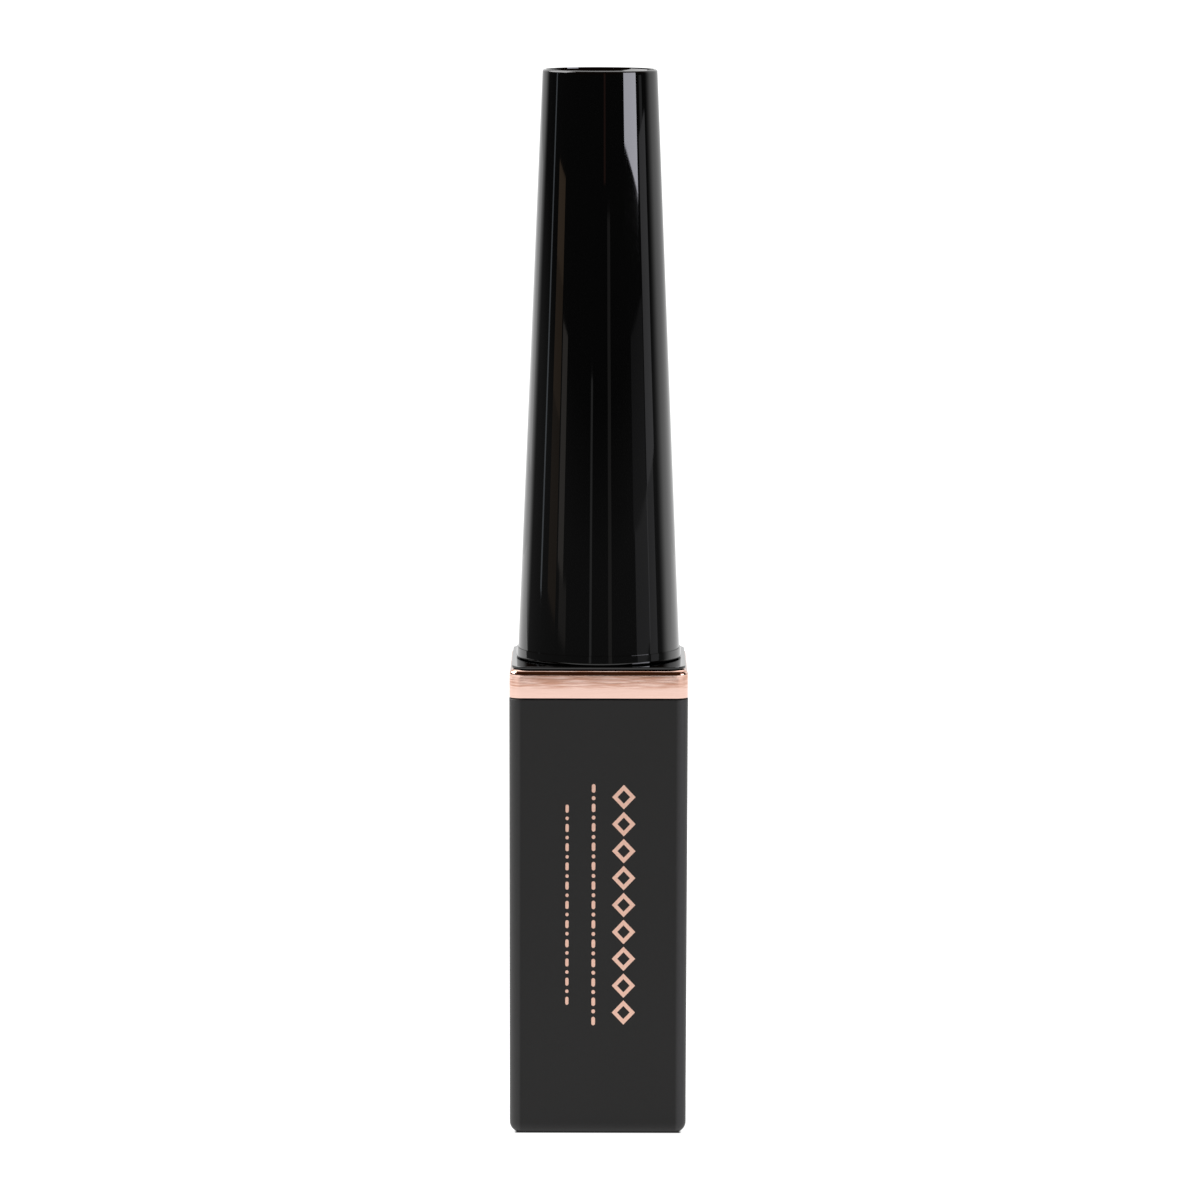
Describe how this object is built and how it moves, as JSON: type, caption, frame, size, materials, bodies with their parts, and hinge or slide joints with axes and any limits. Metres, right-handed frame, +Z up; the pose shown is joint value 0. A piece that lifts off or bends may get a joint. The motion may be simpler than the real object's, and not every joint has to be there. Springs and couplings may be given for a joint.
{
  "type": "liquid eyeliner bottle",
  "caption": "Square soft-touch bottle with a metallised collar round an inner vial, and a tall tapered round screw cap that carries a thin rod and a fine brush.",
  "frame": {"origin": "centre of the foot, on the surface that the bottle stands on", "axes": "+Z up along the bottle's axis, towards the cap; the front face looks along -Y"},
  "size_m": [0.0164, 0.0164, 0.0983],
  "materials": {
    "soft_touch_black": "soft-touch matte coating on moulded ABS",
    "gloss_black": "high-gloss moulded plastic",
    "rose_gold_metallised": "bright rose gold metallised coating on moulded ABS",
    "natural_polypropylene": "natural milky moulded polypropylene",
    "natural_polyethylene": "natural soft moulded polyethylene",
    "white_foam": "closed-cell foam",
    "black_rod_plastic": "moulded black plastic",
    "steel_ferrule": "drawn and crimped sleeve",
    "black_bristle": "bundle of fine synthetic fibres"
  },
  "bodies": {
    "bottle": {"outer_casing": "soft_touch_black", "inner_vial": "natural_polypropylene", "collar_ring": "rose_gold_metallised", "shoulder_cover": "gloss_black", "neck_wiper": "natural_polyethylene"},
    "wand": {"applicator_rod": "black_rod_plastic", "brush_ferrule": "steel_ferrule", "brush_tip": "black_bristle"},
    "cap": {"cap_shell": "gloss_black", "inner_cap": "natural_polypropylene", "seal_washer": "white_foam"}
  },
  "joints": [
    {"name": "cap_lift", "type": "slide", "parent": "bottle", "child": "wand", "axis": [0, 0, 1], "range_m": [0, 0.06]},
    {"name": "cap_turn", "type": "hinge", "parent": "wand", "child": "cap", "pos_m": [0, 0, 0.0438], "axis": [0, 0, 1], "range_deg": [0, 720]}
  ]
}
